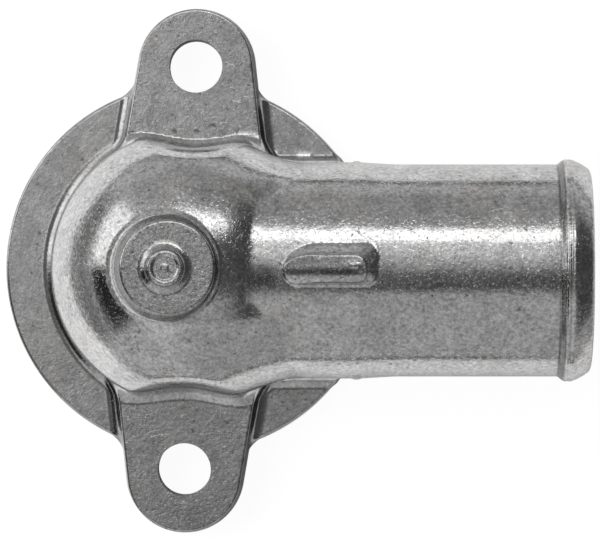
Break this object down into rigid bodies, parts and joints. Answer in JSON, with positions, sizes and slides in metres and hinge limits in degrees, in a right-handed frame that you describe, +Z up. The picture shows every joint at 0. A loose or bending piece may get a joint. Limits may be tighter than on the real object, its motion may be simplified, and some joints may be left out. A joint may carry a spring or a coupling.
{
  "type": "thermostat housing",
  "caption": "One-piece die-cast aluminium coolant outlet: round flange with bolt ears, bulb over the thermostat, side hose neck with bead and a blank boss.",
  "frame": {"origin": "middle of the bounding box on the flange face, which lies at z = 0", "axes": "+X along the hose neck towards its open end, +Y towards the upper bolt ear, +Z up from the flange face"},
  "size_m": [0.1032, 0.0938, 0.0487],
  "materials": {
    "cast_aluminium": "bare die-cast, dull grey with light tarnish"
  },
  "bodies": {
    "root": {"housing": "cast_aluminium"}
  },
  "joints": []
}
